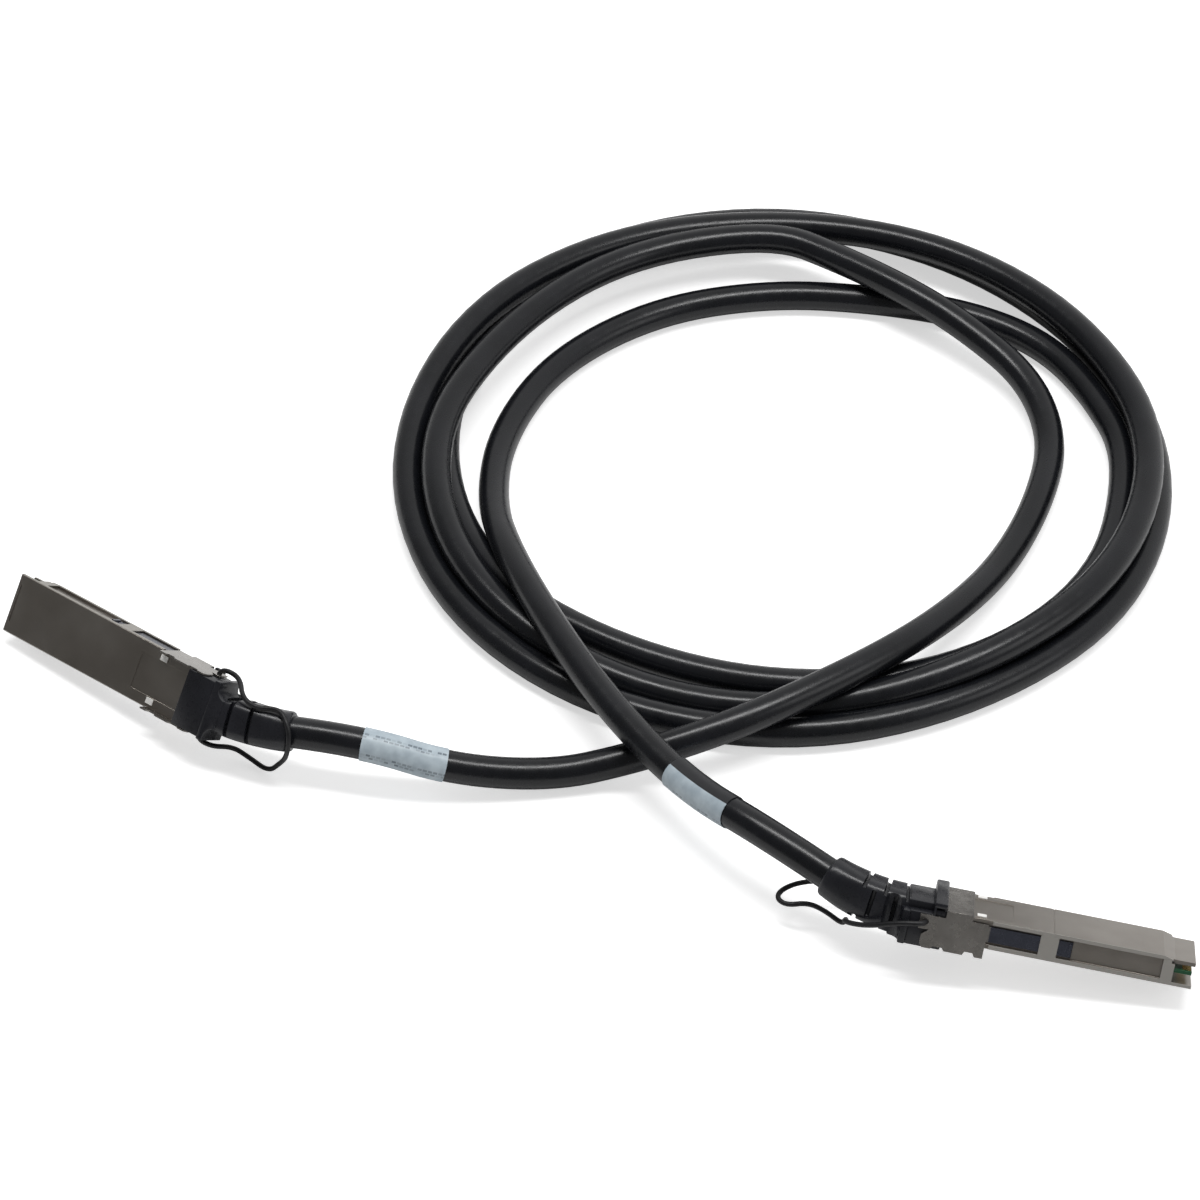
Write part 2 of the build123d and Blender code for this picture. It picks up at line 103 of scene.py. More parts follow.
# Radius of each control point of the turns, and below it the height
TURN_R = [
    [94.5, 96.2, 97.2, 106.6, 110.3, 107.9, 106.8, 108.4, 113.2, 114.0, 108.2, 105.4],
    [104.5, 106.3, 111.0, 115.8, 117.3, 117.3, 116.3, 114.4, 118.0, 116.8, 112.5, 112.0],
    [114.3, 114.8, 108.8, 104.2, 101.0, 94.6, 96.3, 102.4, 107.4, 106.0],
]
TURN_Z = [
    [14.5, 14.3, 14.0, 13.8, 10.8, 5.0, 4.7, 11.9, 14.2, 14.0, 13.8, 12.5],
    [10.5, 13.0, 13.6, 7.0, 4.7, 4.7, 4.7, 4.7, 4.7, 4.7, 4.7, 4.7],
    [4.7] * 10,
]
LEAD_B = [
    (156.2, 87.5, 4.7), (142.2, 110.8, 4.7), (120.0, 125.0, 4.7), (90.0, 132.7, 4.7),
    (55.0, 135.7, 4.7), (17.5, 127.0, 4.7), (-14.7, 102.0, 4.7), (-31.0, 68.5, 4.7),
    (-33.7, 35.5, 6.8), (-27.3, 4.8, 14.2), (-14.0, -29.4, 17.8), (4.0, -63.8, 18.2),
    (25.0, -94.0, 18.6),
]

# %% One smooth spline
def smooth_cord(name, points, diameter, roundness=6):
    """A round cord along control points given in metres."""
    data = bpy.data.curves.new(name, "CURVE")
    data.dimensions = "3D"
    spline = data.splines.new("NURBS")
    spline.points.add(len(points) - 1)
    for knot, point in zip(spline.points, points):
        knot.co = (*point, 1.0)
        knot.radius = MM
    spline.order_u = 3
    spline.use_endpoint_u = True
    spline.resolution_u = 8
    data.bevel_depth = diameter / 2
    data.bevel_resolution = roundness
    data.use_fill_caps = True
    cord = bpy.data.objects.new(name, data)
    bpy.context.scene.collection.objects.link(cord)
    return cord


def centre_line(cord):
    """Points read from the cord's own spline, in order."""
    plain = cord.data.copy()
    plain.bevel_depth = 0.0
    holder = bpy.data.objects.new("line_reader", plain)
    mesh = bpy.data.meshes.new_from_object(holder)
    line = [vertex.co.copy() for vertex in mesh.vertices]
    bpy.data.objects.remove(holder)
    bpy.data.meshes.remove(mesh)
    return line


route = [place(*EXIT_A), place(*(EXIT_A + AHEAD_A * STRAIGHT_A))]
route += [place(*stop) for stop in LEAD_A]
for radii, heights in zip(TURN_R, TURN_Z):
    for step, (radius, height) in enumerate(zip(radii, heights)):
        angle = radians(TURN_START + TURN_STEP * step)
        reach = radius / CORNER_CUT
        route.append(place(COIL[0] + reach * cos(angle), COIL[1] + reach * sin(angle), height))
route += [place(*stop) for stop in LEAD_B]
route += [place(*(EXIT_B + AHEAD_B * STRAIGHT_B)), place(*EXIT_B)]
cable = smooth_cord("cable", route, CABLE_D)
line = centre_line(cable)
CABLE_LENGTH = sum((b - a).length for a, b in zip(line, line[1:]))
print("cable", len(route), "points,", round(CABLE_LENGTH, 3), "m")

# %% [markdown]
# ## The pull cords
# A limp black cord hangs in a loop between the two lugs of each latch slide.
# It is the same kind of curve, only thinner and with tighter bends.

# %% Pull cords
CORD_D = 1.5
CORD_A = [
    (-117.2, -60.7, 6.9), (-118.1, -62.0, 5.0), (-113.2, -66.6, 6.2), (-107.4, -64.0, 3.4),
    (-102.6, -66.2, 1.2), (-96.6, -71.6, 0.8), (-93.0, -71.2, 4.2), (-91.2, -75.4, 10.4),
    (-90.0, -77.4, 16.0), (-89.4, -75.0, 21.6), (-91.6, -69.4, 23.9), (-95.2, -67.6, 23.4),
    (-99.4, -67.6, 23.6), (-103.4, -64.4, 24.6), (-104.6, -54.0, 22.1), (-110.3, -50.3, 22.4),
    (-111.2, -51.5, 20.5),
]
CORD_B = [
    (90.2, -145.8, 20.2), (90.0, -148.0, 21.3), (83.2, -147.2, 21.1), (74.0, -144.4, 16.4),
    (67.6, -140.8, 14.2), (69.0, -137.4, 11.6), (67.8, -138.0, 9.8), (63.6, -133.0, 9.3),
    (58.6, -129.0, 8.7), (52.4, -129.6, 8.2), (49.6, -126.6, 8.0), (51.4, -123.6, 8.4),
    (57.0, -121.4, 9.0), (66.0, -121.4, 9.4), (76.0, -123.6, 9.8), (85.6, -126.8, 12.9),
    (92.2, -128.2, 11.2), (91.9, -130.3, 12.3),
]
pull_cords = {}
for end, stops in (("a", CORD_A), ("b", CORD_B)):
    cord = smooth_cord("pull_cord_" + end, [place(*stop) for stop in stops], CORD_D, roundness=3)
    pull_cords[end] = cord
    run = centre_line(cord)
    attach(cord, "latch_" + end)
    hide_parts("lanyard_" + end)

# %% [markdown]
# ## Frames of the two modules
# Each module has its own frame: X toward the nose, Y across and Z out of the top face.
# A matrix takes a point from that frame, in millimetres, to the part's frame in metres,
# so a piece can be made flat and square and still lie where the module lies.

# %% Module frames
NOSE_X = 80.5
# Rear middle of the hub, heading, droop and roll, then the boot's bend and its direction
POSES = {
    "a": ((-110.25, -59.6, 14.2921), 142.0, 3.6, 128.6, 25.0, 51.5),
    "b": ((85.8, -137.4, 16.4642), -9.4, 6.2, -27.0, 26.0, 38.0),
}


def module_matrix(end):
    """From the module's frame in millimetres to the part's frame in metres."""
    hub, heading, droop, roll, _, _ = POSES[end]
    turn = Matrix.Rotation(radians(heading), 4, "Z") @ Matrix.Rotation(radians(droop), 4, "Y")
    turn = turn @ Matrix.Rotation(radians(roll), 4, "X")
    return Matrix.Scale(MM, 4) @ Matrix.Translation(DATUM + Vector(hub)) @ turn


MATRICES = {end: module_matrix(end) for end in POSES}
for end, matrix in MATRICES.items():
    print("nose of", end, [round(v, 4) for v in matrix @ Vector((NOSE_X, 0, 0))])

# %% Small bmesh helpers
MERGE = 2e-6  # corners of the CAD triangles nearer than this are one corner
FLAT = radians(1.0)
SHARP = radians(30)


def own_coordinates(bm, matrix):
    """Keep each point's place in the module's frame, for the materials."""
    layer = bm.verts.layers.float_vector.new("own")
    inverse = matrix.inverted()
    for vertex in bm.verts:
        vertex[layer] = inverse @ vertex.co


def finish_piece(bm, name, material, body, stands_for, smooth=None):
    """Turn a bmesh into a piece that rides, replaces and wears its material."""
    mesh = bpy.data.meshes.new(name)
    bm.to_mesh(mesh)
    bm.free()
    piece = bpy.data.objects.new(name, mesh)
    bpy.context.scene.collection.objects.link(piece)
    mesh.materials.append(material)
    if smooth:
        mesh.shade_smooth()
        mesh.set_sharp_from_angle(angle=radians(smooth))
    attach(piece, body)
    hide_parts(*stands_for)
    return piece


def round_off(bm, edges, radius, segments=2):
    """Round some edges; only the new faces are shaded smooth, flat faces stay flat."""
    made = bmesh.ops.bevel(bm, geom=list(edges), offset=radius, offset_type="OFFSET",
                           affect="EDGES", segments=segments, profile=0.5, material=-1,
                           clamp_overlap=True)
    for face in made["faces"]:
        face.smooth = True


def rounded_box(bm, low, high, radius, segments=2):
    """A box by its corners with every edge rounded."""
    size = Vector(high) - Vector(low)
    made = bmesh.ops.create_cube(bm, size=1.0)
    bmesh.ops.scale(bm, vec=size, verts=made["verts"])
    bmesh.ops.translate(bm, vec=(Vector(high) + Vector(low)) / 2, verts=made["verts"])
    edges = {edge for vertex in made["verts"] for edge in vertex.link_edges}
    round_off(bm, edges, radius, segments)


def softened_copy(node, offset):
    """The CAD node's own shape with its corners worn round, by an offset in millimetres."""
    bm = bmesh.new()
    bm.from_mesh(nodes[node].data)
    bmesh.ops.remove_doubles(bm, verts=bm.verts[:], dist=MERGE)
    bmesh.ops.dissolve_limit(bm, angle_limit=FLAT, verts=bm.verts[:], edges=bm.edges[:])
    corners = [e for e in bm.edges if e.is_manifold and e.calc_face_angle(0.0) > SHARP]
    for face in bm.faces:
        face.smooth = False
    round_off(bm, corners, offset * MM)
    return bm

# %% [markdown]
# ## Materials
# Every finish needs the same things: a cloudy change of colour, a change of gloss and a
# fine grain. One node group makes them all, and each material sets its own scales.
# A second group marks a stretch of a coordinate, for tabs, arms and printed rows.

# %% Node groups
def new_group(name, inputs, outputs):
    """A node group with its sockets; gives the group and the sockets of both its ends."""
    group = bpy.data.node_groups.new(name, "ShaderNodeTree")
    for label, kind, value in inputs:
        socket = group.interface.new_socket(label, in_out="INPUT", socket_type="NodeSocket" + kind)
        if value is not None:
            socket.default_value = value
    for label, kind in outputs:
        group.interface.new_socket(label, in_out="OUTPUT", socket_type="NodeSocket" + kind)
    given = group.nodes.new("NodeGroupInput").outputs
    wanted = group.nodes.new("NodeGroupOutput").inputs
    return group, given, wanted


def add_node(tree, kind, links=(), **values):
    """A node with its settings; links are pairs of an input and what feeds it."""
    node = tree.nodes.new("ShaderNode" + kind)
    for name, value in values.items():
        setattr(node, name, value)
    for socket, source in links:
        if isinstance(source, bpy.types.NodeSocket):
            tree.links.new(source, node.inputs[socket])
        else:
            node.inputs[socket].default_value = source
    return node


def calculated(tree, operation, *terms, **values):
    """The output of a math node on two or three terms."""
    return add_node(tree, "Math", enumerate(terms), operation=operation, **values).outputs[0]


def grain_group():
    """Cloudy colour, uneven gloss and a fine bump from three noises."""
    group, given, wanted = new_group(
        "grain",
        [("Vector", "Vector", None), ("Cloud", "Float", 60.0), ("Grain", "Float", 900.0),
         ("Dark", "Color", (0, 0, 0, 1)), ("Light", "Color", (1, 1, 1, 1)),
         ("Gloss", "Float", 0.3), ("Matt", "Float", 0.5), ("Lift", "Float", 0.1)],
        [("Color", "Color"), ("Roughness", "Float"), ("Normal", "Vector")],
    )
    cloud = add_node(group, "TexNoise", [
        ("Vector", given["Vector"]), ("Scale", given["Cloud"]), ("Detail", 2.0)])
    share = add_node(group, "MapRange", [
        ("Value", cloud.outputs["Fac"]), ("From Min", 0.34), ("From Max", 0.68)])
    tint = add_node(group, "Mix", [
        (0, share.outputs["Result"]), (6, given["Dark"]), (7, given["Light"])], data_type="RGBA")
    finer = calculated(group, "MULTIPLY", given["Cloud"], 6.0)
    smear = add_node(group, "TexNoise", [("Vector", given["Vector"]), ("Scale", finer)])
    gloss = add_node(group, "MapRange", [
        ("Value", smear.outputs["Fac"]), ("From Min", 0.3), ("From Max", 0.7),
        ("To Min", given["Gloss"]), ("To Max", given["Matt"])])
    speck = add_node(group, "TexNoise", [
        ("Vector", given["Vector"]), ("Scale", given["Grain"]), ("Detail", 1.0)])
    lift = add_node(group, "Bump", [("Strength", given["Lift"]), ("Distance", 0.0003),
                                    ("Height", speck.outputs["Fac"])])
    group.links.new(tint.outputs[2], wanted["Color"])
    group.links.new(gloss.outputs["Result"], wanted["Roughness"])
    group.links.new(lift.outputs["Normal"], wanted["Normal"])
    return group


def zone_group():
    """One inside a stretch of a value and nought outside, with a soft border."""
    group, given, wanted = new_group(
        "zone",
        [("Value", "Float", 0.0), ("Low", "Float", 0.0), ("High", "Float", 1.0),
         ("Soft", "Float", 0.1)],
        [("Mask", "Float")],
    )
    above = calculated(group, "SUBTRACT", given["Value"], given["Low"])
    below = calculated(group, "SUBTRACT", given["High"], given["Value"])
    nearest = calculated(group, "MINIMUM", above, below)
    mask = calculated(group, "DIVIDE", nearest, given["Soft"], use_clamp=True)
    group.links.new(mask, wanted["Mask"])
    return group


GRAIN = grain_group()
ZONE = zone_group()
print("node groups", GRAIN.name, ZONE.name)

# %% Material helpers
def new_material(name):
    """A new material with its tree and its Principled node."""
    material = bpy.data.materials.new(name)
    material.use_nodes = True
    return material, material.node_tree, material.node_tree.nodes["Principled BSDF"]


def opaque(red, green, blue):
    """A colour with its alpha."""
    return (red, green, blue, 1.0)


def add_zone(tree, value, low, high, soft):
    """The mask of one stretch of a value."""
    zone = add_node(tree, "Group", node_tree=ZONE)
    tree.links.new(value, zone.inputs["Value"])
    for socket, bound in (("Low", low), ("High", high), ("Soft", soft)):
        zone.inputs[socket].default_value = bound
    return zone.outputs["Mask"]


def coated(name, dark, light, gloss, matt, cloud, grain, lift):
    """A material whose colour, gloss and bump all come from the grain group."""
    material, tree, bsdf = new_material(name)
    where = add_node(tree, "TexCoord").outputs["Object"]
    look = add_node(tree, "Group", node_tree=GRAIN)
    values = {"Dark": opaque(*dark), "Light": opaque(*light), "Gloss": gloss, "Matt": matt,
              "Cloud": cloud, "Grain": grain, "Lift": lift}
    for socket, value in values.items():
        look.inputs[socket].default_value = value
    tree.links.new(where, look.inputs["Vector"])
    tree.links.new(look.outputs["Color"], bsdf.inputs["Base Color"])
    tree.links.new(look.outputs["Roughness"], bsdf.inputs["Roughness"])
    tree.links.new(look.outputs["Normal"], bsdf.inputs["Normal"])
    return material


def repaint(material, axis, low, high, colour, soft=0.05, attribute="own", away=False):
    """Another colour over one stretch of a piece's own coordinate, in millimetres."""
    tree = material.node_tree
    bsdf = tree.nodes["Principled BSDF"]
    before = bsdf.inputs["Base Color"].links[0].from_socket
    own = add_node(tree, "Attribute", attribute_name=attribute)
    split = add_node(tree, "SeparateXYZ", [(0, own.outputs["Vector"])])
    value = split.outputs[axis]
    if away:
        value = calculated(tree, "ABSOLUTE", value)
    mask = add_zone(tree, value, low, high, soft)
    mix = add_node(tree, "Mix", [(0, mask), (6, before), (7, opaque(*colour))], data_type="RGBA")
    tree.links.new(mix.outputs[2], bsdf.inputs["Base Color"])
    return mask


# %% Cable jacket, boot rubber and cord
# Dark and light colour, lowest and highest roughness, cloud and grain scale, bump
SOFT_SHINE = 0.42
jacket = coated("jacket", (0.0050, 0.0056, 0.0072), (0.0085, 0.0092, 0.0118),
                0.22, 0.30, 60.0, 700.0, 0.02)
rubber = coated("boot_rubber", (0.0095, 0.0100, 0.0128), (0.0165, 0.0170, 0.0215),
                0.24, 0.34, 90.0, 900.0, 0.04)
cord_rubber = coated("cord_rubber", (0.004, 0.004, 0.005), (0.009, 0.009, 0.011),
                     0.40, 0.55, 300.0, 3000.0, 0.15)
chip_black = coated("chip_epoxy", (0.010, 0.010, 0.010), (0.020, 0.020, 0.020),
                    0.50, 0.60, 200.0, 3000.0, 0.10)
for finish in (jacket, rubber, cord_rubber):
    shine = finish.node_tree.nodes["Principled BSDF"].inputs["Specular IOR Level"]
    shine.default_value = SOFT_SHINE

# %% Plated metal, gold and foil
# The raised tabs carry painted highlights: near white and not metal, they stand for glints.
# The sides are duller than the top. The arms are dark: partly the slide's own blue-black
# finish, partly painted shade of the recess they lie in.
PLATED = 0.9
BEYOND = 99.0  # past every piece, so the stretch has one border only
TAB_Z = 4.36
SIDE_Y = 9.02
ARM_X = (23.0, 46.6)
casting = coated("cast_plating", (0.245, 0.222, 0.197), (0.315, 0.29, 0.262),
                 0.28, 0.33, 45.0, 420.0, 0.010)
steel = coated("slide_steel", (0.28, 0.265, 0.245), (0.40, 0.38, 0.355),
               0.23, 0.29, 55.0, 500.0, 0.010)
gold = coated("contact_gold", (0.55, 0.36, 0.09), (0.75, 0.52, 0.16),
              0.20, 0.30, 200.0, 2600.0, 0.05)
foil = coated("pair_foil", (0.45, 0.46, 0.48), (0.62, 0.63, 0.66),
              0.25, 0.50, 300.0, 2000.0, 0.12)
for finish in (casting, steel, gold, foil):
    finish.node_tree.nodes["Principled BSDF"].inputs["Metallic"].default_value = PLATED
# Painted highlight: above TAB_Z the tabs turn near white and lose their metal, standing for
# glints.
tab_glint_mask = repaint(casting, "Z", TAB_Z, BEYOND, (0.92, 0.91, 0.88), away=True)
sides = repaint(casting, "Y", SIDE_Y, BEYOND, (0.34, 0.325, 0.30), soft=0.03, away=True)
tree = casting.node_tree
coat = tree.nodes["Principled BSDF"].inputs
glint_metallic = add_node(tree, "MapRange", [("Value", tab_glint_mask), ("To Min", PLATED), ("To Max", 0.0)])
dull = add_node(tree, "MapRange", [("Value", sides), ("To Min", PLATED), ("To Max", 0.2)])
haze = add_node(tree, "MapRange", [("Value", sides), ("To Min", 0.0), ("To Max", 0.55)])
metal = calculated(tree, "MINIMUM", glint_metallic.outputs["Result"], dull.outputs["Result"])
rough = calculated(tree, "MAXIMUM", coat["Roughness"].links[0].from_socket, haze.outputs["Result"])
tree.links.new(metal, coat["Metallic"])
tree.links.new(rough, coat["Roughness"])
# Partly painted shade: the arms get the slide's own blue-black finish, darkened further as shade
# of their recess.
repaint(steel, "X", *ARM_X, (0.085, 0.090, 0.115), soft=0.3)
finishes = (jacket, rubber, cord_rubber, chip_black, casting, steel, gold, foil)
print("finishes", [finish.name for finish in finishes])

# %% Card
def card_face():
    """Green solder mask with the raised lines of the traces under it."""
    material, tree, bsdf = new_material("card_mask")
    own = add_node(tree, "Attribute", attribute_name="own")
    wave = add_node(tree, "TexWave", [
        ("Vector", own.outputs["Vector"]), ("Scale", 0.39), ("Distortion", 0.6),
    ], wave_type="BANDS", bands_direction="Y")
    traces = add_node(tree, "MapRange", [
        ("Value", wave.outputs["Fac"]), ("From Min", 0.55), ("From Max", 0.62)])
    tint = add_node(tree, "Mix", [
        (0, traces.outputs["Result"]), (6, opaque(0.010, 0.075, 0.030)),
        (7, opaque(0.018, 0.13, 0.05))], data_type="RGBA")
    lift = add_node(tree, "Bump", [
        ("Strength", 0.2), ("Distance", 0.0001), ("Height", wave.outputs["Fac"])])
    tree.links.new(tint.outputs[2], bsdf.inputs["Base Color"])
    tree.links.new(lift.outputs["Normal"], bsdf.inputs["Normal"])
    bsdf.inputs["Roughness"].default_value = 0.32
    return material


card_green = card_face()
print("card finish", card_green.name)

# %% Dress the curves
cable.data.materials.append(jacket)
for cord in pull_cords.values():
    cord.data.materials.append(cord_rubber)
print("dressed", cable.name, [cord.name for cord in pull_cords.values()])

# %% [markdown]
# ## Shells, slide and card
# The CAD shapes of the castings are right, so each piece starts as a copy of them and
# gets worn corners, which catch a thin line of light as real castings do.

# %% Metal and card pieces
# The finish, the width of the worn corner in millimetres, the slot and the body
METAL = {
    "upper_shell": (casting, 0.26, "plated_zinc", "cable_and_modules"),
    "lower_shell": (casting, 0.26, "plated_zinc", "cable_and_modules"),
    "latch_slide": (steel, 0.09, "plated_steel", "latch_"),
    "paddle_card": (card_green, 0.06, "card_green", "cable_and_modules"),
}
for end in ("a", "b"):
    for node, (finish, corner, slot_name, body) in METAL.items():
        bm = softened_copy(node + "_" + end, corner)
        own_coordinates(bm, MATRICES[end])
        rider = body + end if body.endswith("_") else body
        piece = finish_piece(bm, node + "_skin_" + end, finish, rider, [node + "_" + end])
        print(piece.name, len(piece.data.polygons), "faces")

# %% Finishes of the CAD nodes that stay
KEPT = {
    "contact_pads": gold, "memory_chip": chip_black, "twinax_pairs": foil,
    "crimp_ferrule": steel,
}
for end in ("a", "b"):
    for node, finish in KEPT.items():
        mesh = nodes[node + "_" + end].data
        mesh.materials.clear()
        mesh.materials.append(finish)
print("kept nodes dressed:", sorted(KEPT))

# %% [markdown]
# ## The hub and the bent boot
# The hub is moulded over the rear of the castings. Its boot tapers to the cable and is
# cut by slots, top and bottom in turn with the sides, so that it bends without folding.

# %% Boot frame
BOOT_L = 24.0
BOOT_W = 11.9
ROOT_H = 13.2
ROOT_DROP = -0.95  # the root's middle lies this far under the module's own
END_H = 12.0
BOOT_SIDES = 56
RINGS = [(2.0 * step, 0.0) for step in range(12)] + [(23.2, 0.0), (23.75, 0.25), (24.0, 0.7)]
SQUARE, ROUND = 5.0, 2.2  # power of the section at the root and at the end
SHOULDER = 2.7  # top and bottom of the hub's wide plate
PLATE_LOW = -7.5
PLATE_EDGE = [(-1.5, 9.2), (0.6, 9.2)]
PLATE_CORNER = 0.45
SCALLOP_R = 3.1  # round hollows beside the neck
SCALLOP_Y = 7.7
SCALLOP_STEPS = 8
NECK_X = -4.6
SLOTS = 5
FIRST_SLOT = 0.7
SLOT_PITCH = 3.05
SLOT_HALF = 0.65
SLOT_CORNER = 0.4
SLOT_CLEAR = 1.0  # middle of a cutter outside the boot's skin


def boot_section(end, run):
    """Matrix of a section across the boot: X and Y across it, Z along it."""
    bend, toward = radians(POSES[end][4]), radians(POSES[end][5])
    side = Vector((0, cos(toward), sin(toward)))
    back = Vector((-1, 0, 0))
    radius = BOOT_L / bend
    turn = run / radius
    centre = back * (radius * sin(turn)) + side * (radius * (1 - cos(turn)))
    swing = Matrix.Rotation(turn, 3, back.cross(side))
    across, axis = swing @ Vector((0, -1, 0)), swing @ back
    matrix = Matrix((across, axis.cross(across), axis)).transposed().to_4x4()
    matrix.translation = centre
    return matrix


def boot_ring(bm, end, run, inset):
    """One section of the boot: nearly square at the root, nearly round at the end."""
    share = run / BOOT_L
    power = SQUARE - (SQUARE - ROUND) * share
    width = BOOT_W / 2 - inset
    height = (ROOT_H + (END_H - ROOT_H) * share) / 2 - inset
    made = bmesh.ops.create_circle(bm, cap_ends=False, radius=1.0, segments=BOOT_SIDES)
    for vertex in made["verts"]:
        x, y = vertex.co.x, vertex.co.y
        size = (abs(x) ** power + abs(y) ** power) ** (1 / power)
        vertex.co.x = x / size * width
        vertex.co.y = y / size * height + ROOT_DROP * (1 - share)
    bmesh.ops.transform(bm, matrix=boot_section(end, run), verts=made["verts"])
    return list({edge for vertex in made["verts"] for edge in vertex.link_edges})


def boot_shape(end):
    """The boot as rings bridged into one closed skin, its last edge rounded."""
    bm = bmesh.new()
    loops = [boot_ring(bm, end, run, inset) for run, inset in RINGS]
    for first, second in zip(loops, loops[1:]):
        bmesh.ops.bridge_loops(bm, edges=first + second)
    bmesh.ops.holes_fill(bm, edges=[edge for edge in bm.edges if edge.is_boundary], sides=0)
    bmesh.ops.recalc_face_normals(bm, faces=bm.faces[:])
    return bm


# %% Slots and hollows of the boot
def add_hub_plate(bm):
    """The wide plate of the hub with a round hollow on each side of its rear."""
    outline = []
    for step in range(SCALLOP_STEPS + 1):
        angle = radians(90 / SCALLOP_STEPS * step)
        outline.append((NECK_X + SCALLOP_R * sin(angle), SCALLOP_Y - SCALLOP_R * cos(angle)))
    outline += PLATE_EDGE
    outline += [(x, -y) for x, y in reversed(outline)]
    face = bm.faces.new([bm.verts.new((x, y, PLATE_LOW)) for x, y in outline])
    raised = bmesh.ops.extrude_face_region(bm, geom=[face])
    top = [part for part in raised["geom"] if isinstance(part, bmesh.types.BMVert)]
    bmesh.ops.translate(bm, vec=(0, 0, SHOULDER - PLATE_LOW), verts=top)
    bmesh.ops.recalc_face_normals(bm, faces=bm.faces[:])
    sharp = [edge for edge in bm.edges if edge.calc_face_angle(0.0) > radians(40)]
    round_off(bm, sharp, PLATE_CORNER)


def slot_cutters(end):
    """Round-cornered blocks where the rubber is cut away, top and sides in turn."""
    bm = bmesh.new()
    for mark in range(SLOTS):
        run = FIRST_SLOT + SLOT_PITCH * mark
        share = run / BOOT_L
        reach = (ROOT_H + (END_H - ROOT_H) * share) / 2 + SLOT_CLEAR
        middle = ROOT_DROP * (1 - share)
        for side in (-1, 1):
            if mark == 0 and side < 0:
                continue
            if mark % 2:
                centre = Vector((side * (BOOT_W / 2 + SLOT_CLEAR), 0, 0))
                size = Vector((3.0, 4.2, SLOT_HALF))
            else:
                centre = Vector((0, middle + side * reach, 0))
                size = Vector((10.0, 3.0, SLOT_HALF))
            before = set(bm.verts)
            rounded_box(bm, centre - size, centre + size, SLOT_CORNER, 3)
            new = [vertex for vertex in bm.verts if vertex not in before]
            bmesh.ops.transform(bm, matrix=boot_section(end, run), verts=new)
    return bm


def hollow_cutters():
    """Upright rounds that hollow both sides of the boot's root."""
    bm = bmesh.new()
    for side in (-1, 1):
        made = bmesh.ops.create_cone(bm, cap_ends=True, segments=48, radius1=SCALLOP_R,
                                     radius2=SCALLOP_R, depth=40.0)
        bmesh.ops.translate(bm, vec=(NECK_X, side * SCALLOP_Y, 0), verts=made["verts"])
    return bm


def carved(bm, cutters, name):
    """Cut one closed shape by another with the exact boolean and give it back."""
    holders = []
    for label, shape in ((name, bm), (name + "_cutters", cutters)):
        mesh = bpy.data.meshes.new(label)
        shape.to_mesh(mesh)
        shape.free()
        holder = bpy.data.objects.new(label, mesh)
        bpy.context.scene.collection.objects.link(holder)
        holders.append(holder)
    cut = holders[0].modifiers.new("cut", "BOOLEAN")
    cut.operation = "DIFFERENCE"
    cut.solver = "EXACT"
    cut.object = holders[1]
    graph = bpy.context.evaluated_depsgraph_get()
    result = bmesh.new()
    result.from_mesh(holders[0].evaluated_get(graph).to_mesh())
    for holder in holders:
        bpy.data.objects.remove(holder)
    return result


def joined(first, second):
    """Both shapes in one bmesh."""
    spare = bpy.data.meshes.new("spare")
    second.to_mesh(spare)
    second.free()
    first.from_mesh(spare)
    bpy.data.meshes.remove(spare)
    return first


# %% Hub and boot together
# Low corner, high corner and corner radius of each plain block of the hub
HUB_BLOCKS = [
    ((0.4, -8.6, -7.5), (10.5, 8.6, 2.7), 0.4), ((-0.4, -5.95, 1.5), (7.5, 5.95, 4.9), 0.5),
    ((6.9, -9.2, 2.2), (7.5, 9.2, 5.2), 0.2), ((7.2, -8.6, 2.2), (10.5, 8.6, 4.2), 0.25),
    ((6.9, -9.2, 4.9), (10.5, 9.2, 6.5), 0.5), ((10.3, -7.25, -3.0), (12.9, 7.25, 3.0), 0.2),
]
for end in ("a", "b"):
    boot = carved(boot_shape(end), hollow_cutters(), "hollow_" + end)
    boot = carved(boot, slot_cutters(end), "slots_" + end)
    for face in boot.faces:
        face.smooth = True
    plate = bmesh.new()
    add_hub_plate(plate)
    plate = carved(plate, slot_cutters(end), "plate_" + end)
    whole = joined(boot, plate)
    for low, high, radius in HUB_BLOCKS:
        rounded_box(whole, low, high, radius)
    bmesh.ops.transform(whole, matrix=MATRICES[end], verts=whole.verts[:])
    own_coordinates(whole, MATRICES[end])
    piece = finish_piece(whole, "hub_and_boot_" + end, rubber, "cable_and_modules",
                         ["strain_relief_" + end], smooth=38.0)
    print(piece.name, len(piece.data.polygons), "faces")

# %% [markdown]
# ## Printed sleeves
# Each sleeve is a thin tube on the cable. It follows points read from the cable's own
# curve, and its UV map runs along it and around it, so the faint print sits in rows.

# %% Sleeve tube
SLEEVE_SIDES = 48


